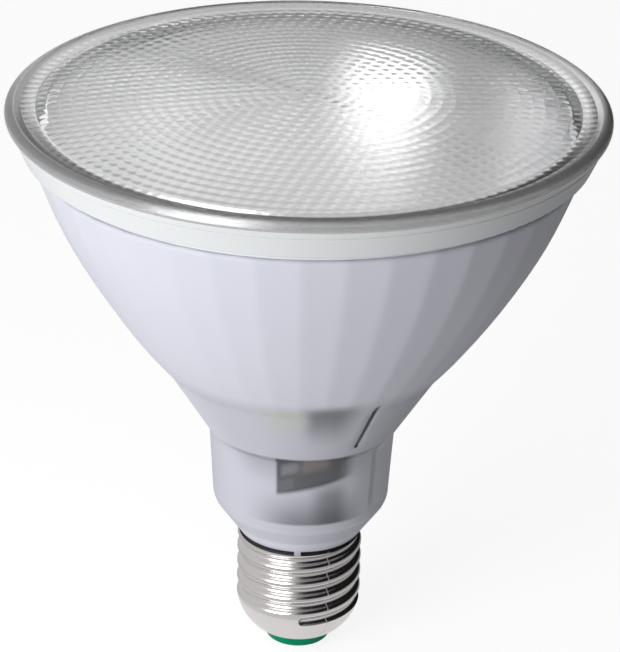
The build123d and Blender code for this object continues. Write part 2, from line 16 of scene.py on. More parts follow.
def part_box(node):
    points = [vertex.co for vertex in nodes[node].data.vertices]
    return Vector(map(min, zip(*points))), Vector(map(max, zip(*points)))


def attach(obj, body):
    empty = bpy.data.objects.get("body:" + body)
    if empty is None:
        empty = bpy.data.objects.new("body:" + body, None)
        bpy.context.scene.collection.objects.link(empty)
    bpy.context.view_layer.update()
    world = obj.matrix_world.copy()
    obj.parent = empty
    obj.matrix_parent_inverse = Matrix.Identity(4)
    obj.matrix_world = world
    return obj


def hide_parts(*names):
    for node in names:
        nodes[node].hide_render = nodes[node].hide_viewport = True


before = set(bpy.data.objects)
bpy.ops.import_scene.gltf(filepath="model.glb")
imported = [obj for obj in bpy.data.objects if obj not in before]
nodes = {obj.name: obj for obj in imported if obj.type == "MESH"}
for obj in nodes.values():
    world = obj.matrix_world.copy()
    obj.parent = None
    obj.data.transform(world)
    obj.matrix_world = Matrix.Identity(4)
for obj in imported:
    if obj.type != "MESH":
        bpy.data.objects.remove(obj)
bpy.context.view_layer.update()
scene = bpy.context.scene
scene.view_settings.view_transform = "Standard"
print("nodes in the frame:", len(nodes))
METRE = 1000.0  # in millimetres


def mm(*values):
    """Lengths in millimetres, as the metres that Blender works in."""
    metres = tuple(v * 0.001 for v in values)
    return metres[0] if len(metres) == 1 else metres


# %% [markdown]
# ## The camera
# The picture was taken with a long lens from about 70 cm away, looking down at the bulb. A
# camera could be aimed at the bulb by a constraint, but then the tilt and the small roll that
# makes the bulb lean would be hidden in it. So the place and the angles are stated as such.
# The focal length comes from the width of the picture in pixels, because that is how it was
# measured.

# %% Set the camera
IMAGE_WIDTH = 620
FOCAL_PIXELS = 3281.6
SENSOR_WIDTH = 36.0
CAMERA_PLACE = (0.0, -608.66, 363.55)
LOOK_DOWN = 25.46
LOOK_RIGHT = 0.112
ROLL = 1.352

camera_data = bpy.data.cameras.new("studio_camera")
camera_data.sensor_fit = "HORIZONTAL"
camera_data.sensor_width = SENSOR_WIDTH
camera_data.lens = FOCAL_PIXELS * SENSOR_WIDTH / IMAGE_WIDTH
camera = bpy.data.objects.new("studio_camera", camera_data)
scene.collection.objects.link(camera)
camera.matrix_world = (
    Matrix.Translation(mm(*CAMERA_PLACE))
    @ Matrix.Rotation(radians(-LOOK_RIGHT), 4, "Z")
    @ Matrix.Rotation(radians(90 - LOOK_DOWN), 4, "X")
    @ Matrix.Rotation(radians(ROLL), 4, "Z")
)
scene.camera = camera
print("focal length in mm:", round(camera_data.lens, 1))

# %% [markdown]
# ## Node trees in a few words
# The sky of the studio and every finish below are small trees of shader nodes. They could be
# drawn by hand in the editor, but a script shows every value and can be run again. A few
# helpers keep the cells short: they add a node and fill in its inputs, do a sum, measure a
# length, or go from one value to another.


# %% Helpers for nodes
def add(tree, kind, **inputs):
    """Adds a shader node and sets the inputs named in plain words."""
    node = tree.nodes.new(kind)
    for name, value in inputs.items():
        node.inputs[name.replace("_", " ")].default_value = value
    return node


def feed(tree, socket, value):
    """Links an output to a socket, or sets the socket to a number."""
    if isinstance(value, bpy.types.NodeSocket):
        tree.links.new(value, socket)
    else:
        socket.default_value = value


def calc(tree, operation, *sides):
    """A Math node; each side is an output or a number."""
    node = tree.nodes.new("ShaderNodeMath")
    node.operation = operation
    for socket, value in zip(node.inputs, sides):
        feed(tree, socket, value)
    return node.outputs["Value"]


def length_of(tree, vector):
    """The length of a vector."""
    node = tree.nodes.new("ShaderNodeVectorMath")
    node.operation = "LENGTH"
    tree.links.new(vector, node.inputs[0])
    return node.outputs["Value"]


def between(tree, value, low, high):
    """A Map Range node from 0..1 to low..high, each a number or an output."""
    node = tree.nodes.new("ShaderNodeMapRange")
    feed(tree, node.inputs["Value"], value)
    feed(tree, node.inputs["To Min"], low)
    feed(tree, node.inputs["To Max"], high)
    return node.outputs["Result"]


# %% [markdown]
# ## The studio
# A product picture like this one has a bright side and a shaded side. Lamps and black cards
# round the bulb could make them. Here the world does most of it, because it is smooth and has
# no edges that show: it is pale on the left and dark on the right. What a ray sees depends on
# where it comes from. Metal sees a sharper edge and a darker dark, so that it sparkles. Glass
# gathers light from everywhere, so its dark side is pale. The camera sees plain white.

# %% Shade the world from left to right
AMBIENT = 0.56
SHADE = 0.08
METAL_BRIGHT = 0.75
METAL_DARK = 0.01
GLASS_BRIGHT = 1.0
GLASS_SHADE = 0.92
SIDE_FROM, SIDE_TO = -0.45, 0.5
METAL_FROM, METAL_TO = -0.35, 0.12

world = bpy.data.worlds.new("studio")
scene.world = world
world.use_nodes = True
sky = world.node_tree
sky.nodes.clear()
path = add(sky, "ShaderNodeLightPath")
from_metal = path.outputs["Is Glossy Ray"]
from_glass = path.outputs["Is Transmission Ray"]
direction = add(sky, "ShaderNodeTexCoord").outputs["Generated"]
split = add(sky, "ShaderNodeSeparateXYZ")
side = add(sky, "ShaderNodeMapRange", To_Min=1.0, To_Max=0.0)
side.interpolation_type = "SMOOTHSTEP"
sky.links.new(direction, split.inputs["Vector"])
sky.links.new(split.outputs["X"], side.inputs["Value"])
sky.links.new(between(sky, from_metal, SIDE_FROM, METAL_FROM), side.inputs["From Min"])
sky.links.new(between(sky, from_metal, SIDE_TO, METAL_TO), side.inputs["From Max"])
dark = between(sky, from_glass, between(sky, from_metal, SHADE, METAL_DARK), GLASS_SHADE)
pale = between(sky, from_glass, between(sky, from_metal, AMBIENT, METAL_BRIGHT), GLASS_BRIGHT)
around = between(sky, side.outputs["Result"], dark, pale)
print("the world is dark from", SIDE_TO, "on the right, and for metal from", METAL_TO)

# %% [markdown]
# The pillows of the lens catch a window behind the bulb, each as one small glint. A lamp there
# would also light the bulb from behind, so the window is a round bright place in the world that
# only reflections see. Its size is given as the cosine of the angle from its middle.

# %% Put a window behind the bulb
WINDOW_SIDE = (-0.12, 0.88, 0.46)
WINDOW_EDGE, WINDOW_CORE = 0.988, 0.996
WINDOW_BRIGHT = 1.5

toward = add(sky, "ShaderNodeVectorMath")
toward.operation = "DOT_PRODUCT"
toward.inputs[1].default_value = Vector(WINDOW_SIDE).normalized()
sky.links.new(direction, toward.inputs[0])
window = add(sky, "ShaderNodeMapRange", From_Min=WINDOW_EDGE, From_Max=WINDOW_CORE,
             To_Max=WINDOW_BRIGHT)
window.interpolation_type = "SMOOTHSTEP"
sky.links.new(toward.outputs["Value"], window.inputs["Value"])
glint = calc(sky, "MULTIPLY", window.outputs["Result"], from_metal)
strength = calc(sky, "MAXIMUM", calc(sky, "ADD", around, glint), path.outputs["Is Camera Ray"])
background = add(sky, "ShaderNodeBackground")
sky.links.new(strength, background.inputs["Strength"])
world_out = add(sky, "ShaderNodeOutputWorld")
sky.links.new(background.outputs["Background"], world_out.inputs["Surface"])
print("nodes in the sky:", len(sky.nodes))

# %% [markdown]
# One large lamp on the left, a little higher than the lens, gives the light a direction. A sun
# or a point lamp would give hard shadows, so it is a square area lamp.

# %% Hang the lamp
KEY_PLACE = (-450.0, -580.0, 190.0)
KEY_AIM = (0.0, 0.0, 80.0)
KEY_SIZE = 480.0
KEY_POWER = 4.3

key_data = bpy.data.lights.new("key_lamp", "AREA")
key_data.size = mm(KEY_SIZE)
key_data.energy = KEY_POWER
key = bpy.data.objects.new("key_lamp", key_data)
scene.collection.objects.link(key)
key.location = mm(*KEY_PLACE)
aim = Vector(mm(*KEY_AIM)) - key.location
key.rotation_euler = aim.to_track_quat("-Z", "Y").to_euler()
print("lamp to bulb in m:", round(aim.length, 2))

# %% [markdown]
# ## A pale floor
# The bulb stands on its contact tip here, on a white table that takes a soft shadow. A plane
# with a bend at the back would do the same. One flat square is enough, because the camera
# looks down and never sees its far edge.

# %% Lay the floor
FLOOR_REACH = 3.0

floor_mesh = bmesh.new()
bmesh.ops.create_grid(floor_mesh, x_segments=1, y_segments=1, size=FLOOR_REACH)
floor_data = bpy.data.meshes.new("floor")
floor_mesh.to_mesh(floor_data)
floor_mesh.free()
floor = bpy.data.objects.new("floor", floor_data)
scene.collection.objects.link(floor)
print("floor faces:", len(floor_data.polygons))

# %% [markdown]
# Most of the floor's white is emission that the camera and glass see in full. A plain white
# floor would throw too much light up at the bulb, and from every side. This one throws more
# up from the left than from the right, like the rest of the studio, and metal also sees a
# bright patch right under the cap.


# %% Paint the floor
def new_finish(name):
    """A material with nodes, and its Principled shader."""
    finish = bpy.data.materials.new(name)
    finish.use_nodes = True
    return finish, finish.node_tree, finish.node_tree.nodes["Principled BSDF"]


FLOOR_TONE = 0.35
FLOOR_ROUGH = 0.9
FLOOR_LIFT = 0.84
BOUNCE_LEFT, BOUNCE_RIGHT = 0.5, 0.06
BOUNCE_REACH = 250.0
UNDER_CAP_LIFT = 0.6
UNDER_CAP_CORE, UNDER_CAP_EDGE = 22.0, 60.0

finish, tree, skin = new_finish("floor_paint")
skin.inputs["Base Color"].default_value = (FLOOR_TONE, FLOOR_TONE, FLOOR_TONE, 1)
skin.inputs["Roughness"].default_value = FLOOR_ROUGH
skin.inputs["Specular IOR Level"].default_value = 0.0
skin.inputs["Emission Color"].default_value = (1, 1, 1, 1)
path = add(tree, "ShaderNodeLightPath")
spot = add(tree, "ShaderNodeTexCoord").outputs["Object"]
split = add(tree, "ShaderNodeSeparateXYZ")
bounce = add(tree, "ShaderNodeMapRange", From_Min=-mm(BOUNCE_REACH), From_Max=mm(BOUNCE_REACH),
             To_Min=BOUNCE_LEFT, To_Max=BOUNCE_RIGHT)
under = add(tree, "ShaderNodeMapRange", From_Min=mm(UNDER_CAP_CORE),
            From_Max=mm(UNDER_CAP_EDGE), To_Min=UNDER_CAP_LIFT, To_Max=0.0)
tree.links.new(spot, split.inputs["Vector"])
tree.links.new(split.outputs["X"], bounce.inputs["Value"])
tree.links.new(length_of(tree, spot), under.inputs["Value"])
plain = bounce.outputs["Result"]
lift = between(tree, path.outputs["Is Glossy Ray"], plain,
               calc(tree, "MAXIMUM", under.outputs["Result"], plain))
lift = between(tree, path.outputs["Is Transmission Ray"], lift, FLOOR_LIFT)
lift = between(tree, path.outputs["Is Camera Ray"], lift, FLOOR_LIFT)
tree.links.new(lift, skin.inputs["Emission Strength"])
floor_data.materials.append(finish)
print("nodes in the floor's paint:", len(tree.nodes))

# %% [markdown]
# ## Two shared effects
# No real surface has one even colour. Moulded plastic has faint clouds in its colour and gloss,
# and a fine orange peel. Drawn and rolled metal has streaks that run round the axis, and dull
# patches from handling. Every finish could have noises of its own, but then a change to the
# effect would have to be made in each. So each effect is a node group with named sockets.


# %% Start a node group
def start_group(name, inputs, outputs):
    """A node group with its named sockets, and its two end nodes."""
    group = bpy.data.node_groups.new(name, "ShaderNodeTree")
    for title, kind in inputs:
        group.interface.new_socket(title, in_out="INPUT", socket_type=kind)
    for title, kind in outputs:
        group.interface.new_socket(title, in_out="OUTPUT", socket_type=kind)
    return group, group.nodes.new("NodeGroupInput"), group.nodes.new("NodeGroupOutput")


COLOUR, NUMBER = "NodeSocketColor", "NodeSocketFloat"
SKIN_SOCKETS = [("Colour", COLOUR), ("Cloud Colour", COLOUR), ("Cloud Scale", NUMBER),
                ("Gloss", NUMBER), ("Gloss Spread", NUMBER), ("Grain Scale", NUMBER)]
FINISH_SOCKETS = [("Colour", COLOUR), ("Roughness", NUMBER), ("Height", NUMBER)]
print("sockets of an effect:", ", ".join(title for title, _ in SKIN_SOCKETS))

# %% [markdown]
# Both effects are two noises, a coarse one for the clouds and a fine one for the grain, so one
# function builds both. The metal's grain is squeezed along the axis, which draws it out into
# streaks. In plastic the gloss follows the clouds, and in metal it follows the streaks.


# %% Build the two groups
def skin_group(name, cloud_detail, grain_detail, stretch, grain_in_gloss):
    """Clouds in the colour, a grain in the relief, and one of the two in the gloss."""
    group, start, end = start_group(name, SKIN_SOCKETS, FINISH_SOCKETS)
    link = group.links.new
    spot = add(group, "ShaderNodeTexCoord").outputs["Object"]
    drawn_out = add(group, "ShaderNodeMapping", Scale=stretch)
    clouds = add(group, "ShaderNodeTexNoise", Detail=cloud_detail)
    grain = add(group, "ShaderNodeTexNoise", Detail=grain_detail)
    mix = add(group, "ShaderNodeMix")
    mix.data_type = "RGBA"
    link(spot, clouds.inputs["Vector"])
    link(spot, drawn_out.inputs["Vector"])
    link(drawn_out.outputs["Vector"], grain.inputs["Vector"])
    link(start.outputs["Cloud Scale"], clouds.inputs["Scale"])
    link(start.outputs["Grain Scale"], grain.inputs["Scale"])
    link(clouds.outputs["Fac"], mix.inputs["Factor"])
    link(start.outputs["Colour"], mix.inputs["A"])
    link(start.outputs["Cloud Colour"], mix.inputs["B"])
    gloss = calc(group, "MULTIPLY_ADD", (grain if grain_in_gloss else clouds).outputs["Fac"],
                 start.outputs["Gloss Spread"], start.outputs["Gloss"])
    link(mix.outputs["Result"], end.inputs["Colour"])
    link(gloss, end.inputs["Roughness"])
    link(grain.outputs["Fac"], end.inputs["Height"])
    return group


EVEN = (1.0, 1.0, 1.0)
ROUND_THE_AXIS = (1.0, 1.0, 12.0)
moulded = skin_group("moulded_skin", cloud_detail=3.0, grain_detail=2.0, stretch=EVEN,
                     grain_in_gloss=False)
drawn = skin_group("drawn_metal", cloud_detail=2.0, grain_detail=4.0, stretch=ROUND_THE_AXIS,
                   grain_in_gloss=True)
print("shared effects:", moulded.name, drawn.name)

# %% [markdown]
# A finish is one of the two groups joined to a Principled shader: the group gives the colour,
# the roughness and, where the skin has a relief, the height for a bump. The relief is at most a
# few hundredths of a millimetre deep, too fine for a mesh.


# %% Join a group to a shader
RELIEF = 0.05


def coat(name, group, colour, cloud, cloud_scale, gloss, spread, grain_scale, bump=0.0,
         metallic=0.0):
    """A finish whose colour, gloss and relief come from one of the two groups."""
    finish, tree, skin = new_finish(name)
    effect = tree.nodes.new("ShaderNodeGroup")
    effect.node_tree = group
    values = ((*colour, 1), (*cloud, 1), cloud_scale, gloss, spread, grain_scale)
    for (title, _), value in zip(SKIN_SOCKETS, values):
        effect.inputs[title].default_value = value
    tree.links.new(effect.outputs["Colour"], skin.inputs["Base Color"])
    tree.links.new(effect.outputs["Roughness"], skin.inputs["Roughness"])
    skin.inputs["Metallic"].default_value = metallic
    if bump:
        relief = add(tree, "ShaderNodeBump", Strength=bump, Distance=mm(RELIEF))
        tree.links.new(effect.outputs["Height"], relief.inputs["Height"])
        tree.links.new(relief.outputs["Normal"], skin.inputs["Normal"])
    return finish, tree, skin


# %% [markdown]
# ## The milky housing
# The housing is one satin moulding of milky plastic, which shows what lies close behind it: the
# pieces of the driver are dark shapes in the neck and the cone, and the rest stays white. True
# scattering would need a thick volume and many samples. Here the wall is opaque, and the shapes
# are patches on it. A group measures a patch by its angle round the axis and its height. Each
# of its four edges has its own blur, because the blur tells how far behind the wall a piece is.

# %% A group for a patch on the wall
PATCH_SOCKETS = [("Angle", NUMBER), ("Height", NUMBER)]
for edge in ("Left", "Right", "Foot", "Head"):
    PATCH_SOCKETS += [(edge, NUMBER), (edge + " Blur", NUMBER)]
PATCH_SOCKETS.append(("Depth", NUMBER))
patch, start, end = start_group("clear_patch", PATCH_SOCKETS, [("Cover", NUMBER)])


def past(tree, low, high, blur):
    """0 where high is below low, 1 where it is above, and smooth over the blur between."""
    soft = add(tree, "ShaderNodeMapRange", From_Min=-1.0, From_Max=1.0)
    soft.interpolation_type = "SMOOTHSTEP"
    gap = calc(tree, "SUBTRACT", high, low)
    tree.links.new(calc(tree, "DIVIDE", gap, blur), soft.inputs["Value"])
    return soft.outputs["Result"]


given = start.outputs
thin = given["Depth"]
for low, high, edge in (("Left", "Angle", "Left"), ("Angle", "Right", "Right"),
                        ("Foot", "Height", "Foot"), ("Height", "Head", "Head")):
    soft_edge = past(patch, given[low], given[high], given[edge + " Blur"])
    thin = calc(patch, "MULTIPLY", thin, soft_edge)
patch.links.new(calc(patch, "SUBTRACT", 1.0, thin), end.inputs["Cover"])
print("nodes in a patch:", len(patch.nodes))

# %% [markdown]
# The housing, the shell, the box in the neck and the rim of the lens all have such patches. An
# image texture could hold them, but it would need a picture and a UV map. Angles in degrees and
# heights in millimetres are easier to read off the bulb and to change. The angle is 0 at the
# front and grows to the right.


# %% Find a place on a wall
def wall_place(tree):
    """The split Object coordinates, the angle in degrees from the front, the height in mm."""
    spot = add(tree, "ShaderNodeTexCoord")
    split = add(tree, "ShaderNodeSeparateXYZ")
    tree.links.new(spot.outputs["Object"], split.inputs["Vector"])
    height = calc(tree, "MULTIPLY", split.outputs["Z"], METRE)
    forward = calc(tree, "MULTIPLY", split.outputs["Y"], -1.0)
    angle = calc(tree, "DEGREES", calc(tree, "ARCTAN2", split.outputs["X"], forward))
    return split, angle, height


# %% [markdown]
# A patch is written as its left, right, foot and head edge, each a place and a blur, and its
# depth. To paint one, its colour is mixed into the colour that the skin has so far. So a later
# patch lies over an earlier one, like a glaze.


# %% Paint patches
def edges(left, right, foot, head, depth):
    """The values of a patch: each edge is a place and a blur."""
    return (*left, *right, *foot, *head, depth)


def cover_at(tree, angle, height, values):
    """A patch node with the values that edges() gives."""
    place = tree.nodes.new("ShaderNodeGroup")
    place.node_tree = patch
    tree.links.new(angle, place.inputs["Angle"])
    tree.links.new(height, place.inputs["Height"])
    for (title, _), value in zip(PATCH_SOCKETS[2:], values):
        place.inputs[title].default_value = value
    return place


def paint(tree, skin, angle, height, fields):
    """Mixes the colour of each named field into the skin, where its cover goes down."""
    for name, colour, values in fields:
        mix = add(tree, "ShaderNodeMix")
        mix.data_type = "RGBA"
        mix.inputs["A"].default_value = (*colour, 1)
        plain = skin.inputs["Base Color"].links[0].from_socket
        cover = cover_at(tree, angle, height, values).outputs["Cover"]
        tree.links.new(cover, mix.inputs["Factor"])
        tree.links.new(plain, mix.inputs["B"])
        tree.links.new(mix.outputs["Result"], skin.inputs["Base Color"])
        print("painted:", name)


# %% [markdown]
# Two veils come first. They make the cone and the neck a little darker than the bowl, because less
# light comes back out of them. The pieces inside are the transformer and a yellow capacitor in the
# cone, the edge of the board and the choke in the neck. The slot in the cone is darkened with
# painted shade, a narrow dark line over the slot in the wall. The other shades are painted light
# and shadow at the crease, low in the neck, on the tail and at the right.

# %% Shade the housing
DARK = (0.03, 0.032, 0.036)
YELLOW = (0.56, 0.58, 0.46)
PALE = (0.91, 0.92, 1.0)
WALL_SHADES = [
    ("veil of the cone", DARK, edges((-52, 20), (66, 14), (52.7, 0.4), (70.2, 2.6), 0.2)),
    ("veil of the neck", DARK, edges((-100, 20), (30, 22), (35, 1.5), (52.7, 0.4), 0.2)),
    ("transformer", DARK, edges((2, 4.5), (20.5, 7), (62, 6), (70.4, 1.8), 0.66)),
    ("yellow capacitor", YELLOW, edges((-14, 5), (1, 3), (63, 4), (70, 1.5), 0.5)),
    # painted shade inside the slot of the cone
    ("slot", DARK, edges((29, 0.5), (31, 0.5), (55.7, 0.3), (68.8, 0.8), 0.95)),
    ("line of the crease", DARK, edges((-48, 12), (55, 10), (52.1, 0.4), (53.3, 0.4), 0.28)),
    ("shade under the crease", DARK, edges((-38, 12), (45, 12), (48.5, 3.5), (53.1, 0.4), 0.26)),
    ("edge of the board", DARK, edges((49, 1.3), (53.4, 2), (38.6, 1.5), (53, 1), 0.4)),
    ("choke", DARK, edges((10, 8), (28, 6), (37.1, 0.4), (46, 2.5), 0.48)),
    ("shade low in the neck", DARK, edges((-21, 20), (37, 12), (37.1, 0.4), (41.5, 5), 0.62)),
    ("band of the tail", DARK, edges((-90, 20), (90, 20), (30.6, 0.6), (34.4, 0.7), 0.2)),
    ("light from the right", PALE, edges((54, 14), (105, 40), (37, 2), (52.7, 0.4), 0.8)),
]

milky, tree, skin = coat("milky_plastic", moulded, (0.68, 0.69, 0.78), (0.73, 0.74, 0.82),
                         cloud_scale=25.0, gloss=0.38, spread=0.1, grain_scale=900.0, bump=0.05)
split, angle, height = wall_place(tree)
paint(tree, skin, angle, height, WALL_SHADES)

# %% [markdown]
# Only the box in the neck stands so close behind the wall that its edges are sharp. Painting it
# would make it flat, so the wall is partly clear in front of it: Alpha goes down there. The
# foot of this window rises to the right, because the box is turned. The inner face of the wall
# is left out where it is seen from behind, or it would show as a rim round the window.

# %% Let the box show through
INNER_R = 18.0
BOX_FOOT = 45.4
BOX_SLOPE = 0.078
BOX_WINDOW = edges((-15, 1.3), (30, 7), (BOX_FOOT, 0.7), (53.1, 0.4), 0.78)

flat = add(tree, "ShaderNodeCombineXYZ")
tree.links.new(split.outputs["X"], flat.inputs["X"])
tree.links.new(split.outputs["Y"], flat.inputs["Y"])
reach = length_of(tree, flat.outputs["Vector"])
facing = add(tree, "ShaderNodeNewGeometry")
inner = calc(tree, "LESS_THAN", reach, mm(INNER_R))
inner = calc(tree, "MULTIPLY", inner, facing.outputs["Backfacing"])
place = cover_at(tree, angle, height, BOX_WINDOW)
rise = calc(tree, "MULTIPLY", angle, BOX_SLOPE)
tree.links.new(calc(tree, "ADD", rise, BOX_FOOT), place.inputs["Foot"])
cover = calc(tree, "MULTIPLY", calc(tree, "SUBTRACT", 1.0, inner), place.outputs["Cover"])
tree.links.new(cover, skin.inputs["Alpha"])
print("window from", BOX_FOOT, "mm up, deep", BOX_WINDOW[-1])

# %% [markdown]
# Under the tail, where the housing goes down into the shell, the narrow gap of the joint is a dark
# line of shade. A dark ring could be modelled into it, but the gap is narrow and nothing else of
# it shows. So painted shade darkens the spigot there instead.

# %% Paint shade into the joint under the tail
JOINT_R = 12.6
JOINT_HEAD = 27.9
GAP_SHADE = (0.03, 0.03, 0.035)

# painted shade: the spigot goes dark in the narrow gap under the tail
near = calc(tree, "LESS_THAN", reach, mm(JOINT_R))
low = calc(tree, "LESS_THAN", height, JOINT_HEAD)
mix = add(tree, "ShaderNodeMix")
mix.data_type = "RGBA"
mix.inputs["B"].default_value = (*GAP_SHADE, 1)
tree.links.new(skin.inputs["Base Color"].links[0].from_socket, mix.inputs["A"])
tree.links.new(calc(tree, "MULTIPLY", near, low), mix.inputs["Factor"])
tree.links.new(mix.outputs["Result"], skin.inputs["Base Color"])
print("gap_shade up to", JOINT_HEAD, "mm")

# %% [markdown]
# The strips of the bowl meet at soft edges, as moulded plastic does. The solid has sharp ones. A
# bevel on the mesh would change the CAD, so a Bevel node rounds the normals only.

# %% Round the edges of the strips
STRIP_ROUND = 2.5
STRIP_SAMPLES = 6

rounded = add(tree, "ShaderNodeBevel", Radius=mm(STRIP_ROUND))
rounded.samples = STRIP_SAMPLES
relief = skin.inputs["Normal"].links[0].from_node
tree.links.new(rounded.outputs["Normal"], relief.inputs["Normal"])
print("edges rounded by", STRIP_ROUND, "mm in the shading only")

# %% [markdown]
# The finish is complete now and goes onto the housing. A new slot could be added to the solid for
# it, but the faces already belong to the slots that came with the frame. So those slots stay, and
# each gets the new material.


# %% Dress the housing
def dress(finish, *names):
    """Puts a finish on CAD solids, in the material slots that they have."""
    for name in names:
        for place in nodes[name].material_slots:
            place.material = finish
    print(finish.name, "on", ", ".join(names))


dress(milky, "housing")

# %% [markdown]
# ## The white ring
# The ring under the lens is a harder, glossier white plastic than the housing. The seal in it is
# soft grey silicone. They could have effects of their own, but both are moulded, so they share
# the housing's effect at other scales.

# %% Dress the ring and its seal
finish, _, _ = coat("ring_plastic", moulded, (0.77, 0.79, 0.8), (0.81, 0.83, 0.84),
                    cloud_scale=30.0, gloss=0.25, spread=0.08, grain_scale=700.0, bump=0.04)
dress(finish, "rim_ring")
finish, _, _ = coat("silicone", moulded, (0.62, 0.63, 0.64), (0.7, 0.7, 0.7),
                    cloud_scale=60.0, gloss=0.45, spread=0.1, grain_scale=500.0)
dress(finish, "lens_seal")

# %% [markdown]
# ## The screw cap
# The shell is drawn from thin sheet, rolled into a thread and plated with nickel. Nickel is a
# warm, bright grey that mirrors the studio. A fine upright seam crosses the thread at the right.
# On a mirror a painted line would hardly show, so the seam is a line of rough metal.

# %% Plate the shell
SEAM = edges((28.7, 0.5), (29.5, 0.5), (3, 0.5), (27, 0.5), 0.9)
SEAM_ROUGH = 0.9

finish, tree, skin = coat("nickel_plate", drawn, (0.86, 0.83, 0.82), (0.78, 0.75, 0.74),
                          cloud_scale=120.0, gloss=0.15, spread=0.1, grain_scale=250.0, bump=0.01,
                          metallic=1.0)
_, angle, height = wall_place(tree)
seam = cover_at(tree, angle, height, SEAM).outputs["Cover"]
smooth = skin.inputs["Roughness"].links[0].from_socket
tree.links.new(between(tree, seam, SEAM_ROUGH, smooth), skin.inputs["Roughness"])
dress(finish, "screw_shell")

# %% [markdown]
# Below the shell come the green insulator and the tinned contact in its middle. The insulator is
# a matt moulding. More roughness would spread its shine and make the green pale, so the shine
# itself is turned down. The contact is metal with a coarser grain than the shell.

# %% Dress the tip of the cap
INSULATOR_SHINE = 0.05

finish, _, skin = coat("green_moulding", moulded, (0.0, 0.24, 0.11), (0.0, 0.29, 0.14),
                       cloud_scale=150.0, gloss=0.5, spread=0.12, grain_scale=900.0, bump=0.08)
skin.inputs["Specular IOR Level"].default_value = INSULATOR_SHINE
dress(finish, "base_insulator")
finish, _, _ = coat("tinned_contact", drawn, (0.75, 0.72, 0.66), (0.6, 0.57, 0.5),
                    cloud_scale=300.0, gloss=0.22, spread=0.15, grain_scale=600.0, bump=0.1,
                    metallic=1.0)
dress(finish, "centre_contact")

# %% [markdown]
# ## Inside
# Through the lens the reflector shows: a bowl with a thin bright coat of metal, not quite a
# mirror. Below it come the white board with its yellow light packages, and the aluminium plate
# that carries the heat away. All could share one grey, because little of them shows, but each
# has its own colours and scales, so that the bulb can be opened.

# %% Dress the light source
finish, _, _ = coat("bright_coat", drawn, (0.97, 0.97, 0.975), (0.93, 0.93, 0.94),
                    cloud_scale=40.0, gloss=0.3, spread=0.08, grain_scale=60.0,
                    metallic=1.0)
dress(finish, "reflector")
finish, _, _ = coat("rolled_aluminium", drawn, (0.78, 0.78, 0.79), (0.68, 0.68, 0.69),
                    cloud_scale=60.0, gloss=0.3, spread=0.15, grain_scale=300.0, bump=0.1,
                    metallic=1.0)
dress(finish, "heat_spreader")
finish, _, _ = coat("white_mask", moulded, (0.8, 0.8, 0.78), (0.74, 0.74, 0.72),
                    cloud_scale=90.0, gloss=0.4, spread=0.1, grain_scale=900.0, bump=0.05)
dress(finish, "led_board")
finish, _, _ = coat("phosphor", moulded, (0.85, 0.68, 0.15), (0.8, 0.58, 0.1),
                    cloud_scale=900.0, gloss=0.35, spread=0.1, grain_scale=2000.0, bump=0.1)
dress(finish, "led_packages")
finish, _, _ = coat("zinc_steel", drawn, (0.62, 0.62, 0.62), (0.5, 0.5, 0.5),
                    cloud_scale=300.0, gloss=0.25, spread=0.15, grain_scale=900.0, bump=0.1,
                    metallic=1.0)
dress(finish, "board_screws")

# %% [markdown]
# The driver stands in the cone and the neck: a green board with its capacitors, coils and chips,
# and four leads. Each could be a call like those above. But these are small moulded or lacquered
# pieces that differ in little, so a row of a table is enough: the colour, the cloud colour, the
# gloss and the pieces that wear it.

# %% Dress the driver
INNER_SCALES = {"cloud_scale": 250.0, "spread": 0.12, "grain_scale": 1500.0, "bump": 0.08}
INNER_COATS = [
    ("yellow_lacquer", (0.62, 0.55, 0.12), (0.7, 0.62, 0.2), 0.35, ["suppression_capacitor"]),
    ("pressed_ferrite", (0.06, 0.06, 0.065), (0.1, 0.1, 0.1), 0.55, ["transformer_core"]),
    ("polyester_tape", (0.05, 0.08, 0.085), (0.08, 0.11, 0.115), 0.4, ["transformer_winding"]),
    ("shrink_sleeve", (0.03, 0.03, 0.035), (0.05, 0.05, 0.055), 0.3, ["line_choke"]),
    ("green_lacquer", (0.12, 0.2, 0.14), (0.18, 0.26, 0.2), 0.4, ["fuse_resistor"]),
    ("blue_sleeve", (0.04, 0.05, 0.09), (0.06, 0.07, 0.12), 0.3,
     ["bulk_capacitor", "output_capacitor"]),
    ("moulded_epoxy", (0.03, 0.03, 0.03), (0.06, 0.06, 0.06), 0.5,
     ["bridge_rectifier", "switching_transistor", "controller_chip"]),
    ("red_insulation", (0.5, 0.04, 0.03), (0.58, 0.06, 0.05), 0.35, ["led_lead_positive"]),
    ("black_insulation", (0.03, 0.03, 0.03), (0.05, 0.05, 0.05), 0.35, ["led_lead_negative"]),
    ("brown_insulation", (0.2, 0.09, 0.04), (0.26, 0.12, 0.06), 0.35, ["line_lead"]),
    ("blue_insulation", (0.04, 0.12, 0.4), (0.06, 0.16, 0.48), 0.35, ["neutral_lead"]),
]

finish, _, _ = coat("board_laminate", moulded, (0.12, 0.2, 0.12), (0.16, 0.25, 0.16),
                    cloud_scale=200.0, gloss=0.4, spread=0.15, grain_scale=1500.0, bump=0.1)
dress(finish, "driver_board")
for name, colour, cloud, gloss, wearers in INNER_COATS:
    finish, _, _ = coat(name, moulded, colour, cloud, gloss=gloss, **INNER_SCALES)
    dress(finish, *wearers)

# %% [markdown]
# The box in the neck is the one piece of the driver whose face can be made out: it is dark, with
# a browner part at the right, a pale field at the upper left and a grey one below it. The closed
# housing leaves it in the dark, so it glows faintly, in place of the light that milky plastic
# would let through.

